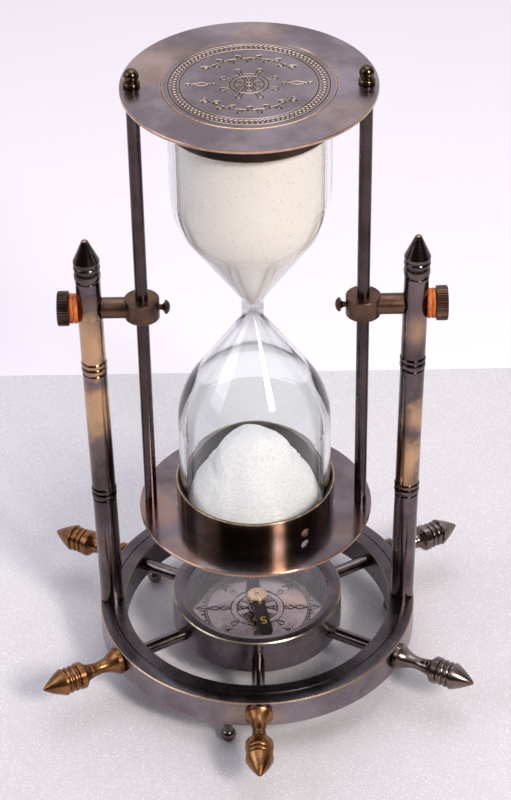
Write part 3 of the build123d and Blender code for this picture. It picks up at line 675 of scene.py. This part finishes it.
def sand_heap():
    """Fallen sand: a cone whose shoulders broke away, with loose grains round its foot."""
    node_low, node_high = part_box("sand_lower")
    floor, wall = node_low.z / MM, node_high.x / MM - 0.05
    peak = np.array([-0.4, -0.6])
    # Reach of the foot in mm by direction in degrees; -90 is the front.
    reach_at = [(-180, 33), (-150, 33), (-120, 31), (-90, 30), (-60, 28.5), (-40, 29), (-15, 33),
                (0, 33.5), (30, 33), (180, 33)]
    sectors, steps, loose_grains = 420, 150, 260
    angles = np.linspace(-180, 180, sectors, endpoint=False)
    reach = np.interp(angles, *zip(*reach_at))
    points = []
    for angle, far in zip(np.radians(angles), reach):
        way = np.array([math.cos(angle), math.sin(angle)])
        along = peak @ way
        limit = -along + math.sqrt(along**2 - peak @ peak + wall**2)
        front = float(np.clip((-math.sin(angle) - 0.15) / 0.6, 0, 1))
        edge = min(far, limit)
        for t in np.linspace(0, 1, steps):
            place = peak + way * edge * max(t, 0.0005)
            here = Vector((place[0], place[1], 0))
            spread = 1 + 0.08 * noise.noise(Vector((*way * 1.3, 4.0)))
            height = float(heap_height(HEAP_FOOT * edge * t / far * spread, front))
            rough = 0.9 * noise.noise(here * 0.13) + 0.28 * noise.noise(here * 0.5)
            rough = rough + 0.10 * noise.noise(here * 1.9) + 0.09 * noise.noise(here * 4.0)
            points.append((place[0], place[1], floor + max(height + rough * min(1.0, (1.02 - t) * 8), 0.0)))
        points.append((*(peak + way * edge), floor))
    rows = steps + 1
    faces = []
    for s in range(sectors):
        one, two = s * rows, (s + 1) % sectors * rows
        faces += [(one + k, one + k + 1, two + k + 1, two + k) for k in range(rows - 1)]
    for _ in range(loose_grains):
        angle = RNG.uniform(-math.pi, math.pi)
        far = float(np.interp(math.degrees(angle), *zip(*reach_at)))
        place = peak + np.array([math.cos(angle), math.sin(angle)]) * (far + abs(RNG.normal(0, 1.3)))
        if np.hypot(*place) > wall - 0.5:
            continue
        size, base = RNG.uniform(0.10, 0.24), len(points)
        for dx, dy, dz in ((1, 0, 1), (0, 1, 1), (-1, 0, 1), (0, -1, 1), (0, 0, 2), (0, 0, 0)):
            points.append((place[0] + dx * size, place[1] + dy * size, floor + dz * size))
        for k in range(4):
            faces += [(base + k, base + (k + 1) % 4, base + 4), (base + (k + 1) % 4, base + k, base + 5)]
    mesh = bpy.data.meshes.new("sand_heap")
    mesh.from_pydata((np.array(points) * MM).tolist(), [], faces)
    mesh.shade_smooth()
    mesh.materials.append(sand("sand_fallen", "f2efee", "ffffff", "b4aeb0", 0.25))
    made = link("sand_heap", mesh)
    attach(made, "hourglass")
    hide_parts("sand_lower")


# --- stage, lights, camera -----------------------------------------------------------
def sheet(name, low, high, height):
    """Flat rectangle of the stage between two corners."""
    mesh = bpy.data.meshes.new(name)
    corners = [(low[0], low[1]), (high[0], low[1]), (high[0], high[1]), (low[0], high[1])]
    mesh.from_pydata([(x, y, height) for x, y in corners], [], [(0, 1, 2, 3)])
    made = link(name, mesh)
    return made


def make_stage():
    """Pale mat the object stands on, with a white floor past its rear edge."""
    mat = sheet("mat", (-3.0, -3.0), (3.0, MAT_REAR_EDGE), 0.0)
    floor = sheet("floor", (-12.0, -12.0), (12.0, 12.0), -0.002)
    made, tree, shader, place = material("mat_foam")
    cells = add(tree, "ShaderNodeTexVoronoi", Vector=place, Scale=2600.0)
    shade = add(tree, "ShaderNodeSeparateColor", Color=cells.outputs["Color"]).outputs[0]
    soft = cloud(tree, place, 14.0, 3.0)
    tint = blend_colour(tree, maths(tree, "MULTIPLY_ADD", soft, 0.6, maths(tree, "MULTIPLY", shade, 0.4)),
                        tone("c6c1c6"), tone("ddd8dc"))
    # Painted glints: white specks on a few cells stand for the foam's sparkle.
    tint = blend_colour(tree, ramp(tree, shade, 0.90, 0.97, 0.0, 0.7), tint, tone("ffffff"))
    tree.links.new(tint, shader.inputs["Base Color"])
    shader.inputs["Roughness"].default_value = 0.55
    bump(tree, shader, cells.outputs["Distance"], 0.0004, 0.5)
    mat.data.materials.append(made)
    made, tree, shader, place = material("floor_white")
    tint = blend_colour(tree, cloud(tree, place, 3.0), tone("e8e1e8"), tone("ede7ed"))
    tree.links.new(tint, shader.inputs["Base Color"])
    shader.inputs["Roughness"].default_value = 0.7
    floor.data.materials.append(made)


def make_light(name, place, aim, size, power, colour):
    """Soft rectangular lamp that isn't seen itself."""
    lamp = bpy.data.lights.new(name, "AREA")
    lamp.shape = "RECTANGLE"
    lamp.size, lamp.size_y = size
    lamp.energy = power
    lamp.color = colour
    made = bpy.data.objects.new(name, lamp)
    made.location = place
    made.rotation_euler = (Vector(aim) - Vector(place)).to_track_quat("-Z", "Y").to_euler()
    made.visible_camera = False
    bpy.context.scene.collection.objects.link(made)


def make_world():
    """Pale background; what the metal mirrors is bright behind and overhead, dim in front."""
    world = bpy.data.worlds.new("studio")
    bpy.context.scene.world = world
    world.use_nodes = True
    tree = world.node_tree
    back = tree.nodes["Background"]
    ray = add(tree, "ShaderNodeTexCoord").outputs["Generated"]
    parts = add(tree, "ShaderNodeSeparateXYZ", Vector=ray)
    behind = ramp(tree, parts.outputs[1], -0.15, 0.60)
    room = blend_colour(tree, behind, (0.045, 0.033, 0.028, 1.0), (0.88, 0.85, 0.89, 1.0))
    above = ramp(tree, parts.outputs[2], 0.55, 0.95)
    room = blend_colour(tree, above, room, (0.62, 0.62, 0.70, 1.0))
    path = add(tree, "ShaderNodeLightPath")
    seen = maths(tree, "MAXIMUM", path.outputs["Is Camera Ray"], path.outputs["Is Transmission Ray"])
    colour = blend_colour(tree, seen, room, tone("fcf7fd"))
    tree.links.new(colour, back.inputs["Color"])
    back.inputs["Strength"].default_value = 1.0


def make_camera():
    """Camera at the photograph's viewing angle."""
    data = bpy.data.cameras.new("camera")
    data.lens = CAMERA_LENS
    data.sensor_width = 36.0
    data.clip_start, data.clip_end = 0.05, 50.0
    made = bpy.data.objects.new("camera", data)
    bpy.context.scene.collection.objects.link(made)
    forward = Vector((0.0, math.cos(CAMERA_ELEVATION), -math.sin(CAMERA_ELEVATION)))
    level_up = Vector((0.0, math.sin(CAMERA_ELEVATION), math.cos(CAMERA_ELEVATION)))
    level_side = Vector((1.0, 0.0, 0.0))
    side = level_side * math.cos(CAMERA_ROLL) + level_up * math.sin(CAMERA_ROLL)
    up = level_up * math.cos(CAMERA_ROLL) - level_side * math.sin(CAMERA_ROLL)
    turn = Matrix((side, up, -forward)).transposed()
    made.matrix_world = Matrix.Translation(CAMERA_TARGET - forward * CAMERA_DISTANCE) @ turn.to_4x4()
    bpy.context.scene.camera = made


make_camera()
make_world()
make_stage()
make_light("key", (0.75, -1.15, 1.15), (0.0, 0.0, 0.15), (0.30, 0.42), 25.0, (1.0, 0.94, 0.87))
make_light("fill", (-1.2, -0.3, 1.0), (0.0, 0.0, 0.15), (0.9, 0.9), 7.0, (0.86, 0.90, 1.0))
make_light("top", (0.1, 0.3, 1.6), (0.0, 0.0, 0.1), (1.2, 1.2), 10.0, (0.95, 0.97, 1.0))
bpy.context.scene.view_settings.view_transform = "Standard"
paint_plates()
paint_wheel()
paint_posts()
paint_frame_hardware()
paint_needle()
paint_others()
top_cup_face()
dial_face()
needle_letters()
sand_heap()
